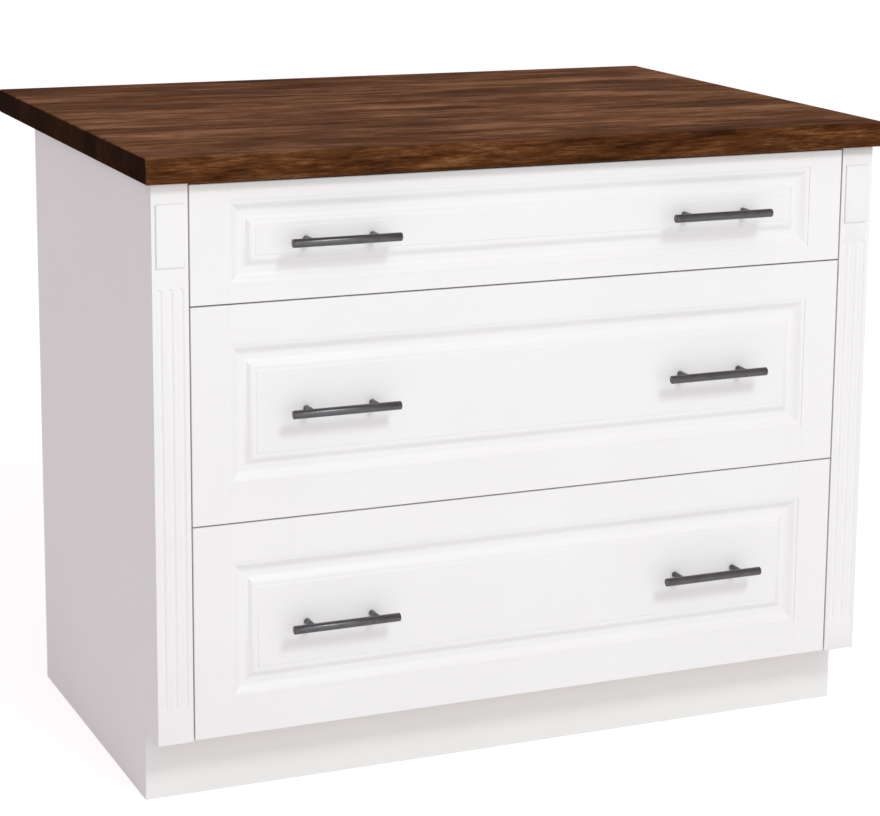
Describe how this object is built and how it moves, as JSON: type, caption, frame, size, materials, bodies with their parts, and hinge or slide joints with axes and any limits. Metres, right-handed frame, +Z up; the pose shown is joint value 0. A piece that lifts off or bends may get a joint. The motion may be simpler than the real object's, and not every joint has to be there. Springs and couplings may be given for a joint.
{
  "type": "kitchen island unit",
  "caption": "Free-standing kitchen island: white painted cabinet with wide framed drawers, bar handles and fluted pilasters under a dark wooden worktop that overhangs the back for seating.",
  "frame": {"origin": "on the floor under the middle of the whole unit, from the handle bars to the back edge of the worktop", "axes": "+Z up out of the worktop, +X along the length to the right of a person facing the drawers, -Y out of the drawer fronts"},
  "size_m": [1.124, 0.8256, 0.912],
  "materials": {
    "white_paint": "satin white paint",
    "walnut_worktop": "oiled dark walnut staves",
    "birch_ply": "clear lacquered birch",
    "black_metal": "satin graphite black",
    "zinc_steel": "zinc plated"
  },
  "bodies": {
    "cabinet": {"worktop": "walnut_worktop", "end_panel_left": "white_paint", "end_panel_right": "white_paint", "box_side_left": "birch_ply", "box_side_right": "birch_ply", "box_bottom": "birch_ply", "back_panel": "white_paint", "toe_kick_board": "white_paint", "top_stretchers": "birch_ply", "worktop_screws": "zinc_steel", "filler_battens": "birch_ply", "pilaster_left": "white_paint", "pilaster_right": "white_paint", "pilaster_blocks": "white_paint", "slide_cabinet_members": "zinc_steel"},
    "bottom_drawer": {"bottom_drawer_stile_left": "white_paint", "bottom_drawer_stile_right": "white_paint", "bottom_drawer_rail_top": "white_paint", "bottom_drawer_rail_bottom": "white_paint", "bottom_drawer_panel": "white_paint", "bottom_drawer_handle_bars": "black_metal", "bottom_drawer_handle_posts": "black_metal", "bottom_drawer_side_left": "birch_ply", "bottom_drawer_side_right": "birch_ply", "bottom_drawer_box_front": "birch_ply", "bottom_drawer_box_back": "birch_ply", "bottom_drawer_bottom": "birch_ply", "bottom_drawer_runners": "zinc_steel", "bottom_drawer_screws": "zinc_steel"},
    "middle_drawer": {"middle_drawer_stile_left": "white_paint", "middle_drawer_stile_right": "white_paint", "middle_drawer_rail_top": "white_paint", "middle_drawer_rail_bottom": "white_paint", "middle_drawer_panel": "white_paint", "middle_drawer_handle_bars": "black_metal", "middle_drawer_handle_posts": "black_metal", "middle_drawer_side_left": "birch_ply", "middle_drawer_side_right": "birch_ply", "middle_drawer_box_front": "birch_ply", "middle_drawer_box_back": "birch_ply", "middle_drawer_bottom": "birch_ply", "middle_drawer_runners": "zinc_steel", "middle_drawer_screws": "zinc_steel"},
    "top_drawer": {"top_drawer_stile_left": "white_paint", "top_drawer_stile_right": "white_paint", "top_drawer_rail_top": "white_paint", "top_drawer_rail_bottom": "white_paint", "top_drawer_panel": "white_paint", "top_drawer_handle_bars": "black_metal", "top_drawer_handle_posts": "black_metal", "top_drawer_side_left": "birch_ply", "top_drawer_side_right": "birch_ply", "top_drawer_box_front": "birch_ply", "top_drawer_box_back": "birch_ply", "top_drawer_bottom": "birch_ply", "top_drawer_runners": "zinc_steel", "top_drawer_screws": "zinc_steel"},
    "bottom_slide": {"bottom_drawer_slide_middles": "zinc_steel"},
    "middle_slide": {"middle_drawer_slide_middles": "zinc_steel"},
    "top_slide": {"top_drawer_slide_middles": "zinc_steel"}
  },
  "joints": [
    {"name": "bottom_drawer_slide", "type": "slide", "parent": "cabinet", "child": "bottom_drawer", "axis": [0, -1, 0], "range_m": [0, 0.5]},
    {"name": "middle_drawer_slide", "type": "slide", "parent": "cabinet", "child": "middle_drawer", "axis": [0, -1, 0], "range_m": [0, 0.5]},
    {"name": "top_drawer_slide", "type": "slide", "parent": "cabinet", "child": "top_drawer", "axis": [0, -1, 0], "range_m": [0, 0.5]},
    {"name": "bottom_slide_middle", "type": "slide", "parent": "cabinet", "child": "bottom_slide", "axis": [0, -1, 0], "range_m": [0, 0.25]},
    {"name": "middle_slide_middle", "type": "slide", "parent": "cabinet", "child": "middle_slide", "axis": [0, -1, 0], "range_m": [0, 0.25]},
    {"name": "top_slide_middle", "type": "slide", "parent": "cabinet", "child": "top_slide", "axis": [0, -1, 0], "range_m": [0, 0.25]}
  ],
  "couplings": [
    {"joint": "bottom_slide_middle", "follows": "bottom_drawer_slide", "ratio": 0.5},
    {"joint": "middle_slide_middle", "follows": "middle_drawer_slide", "ratio": 0.5},
    {"joint": "top_slide_middle", "follows": "top_drawer_slide", "ratio": 0.5}
  ]
}
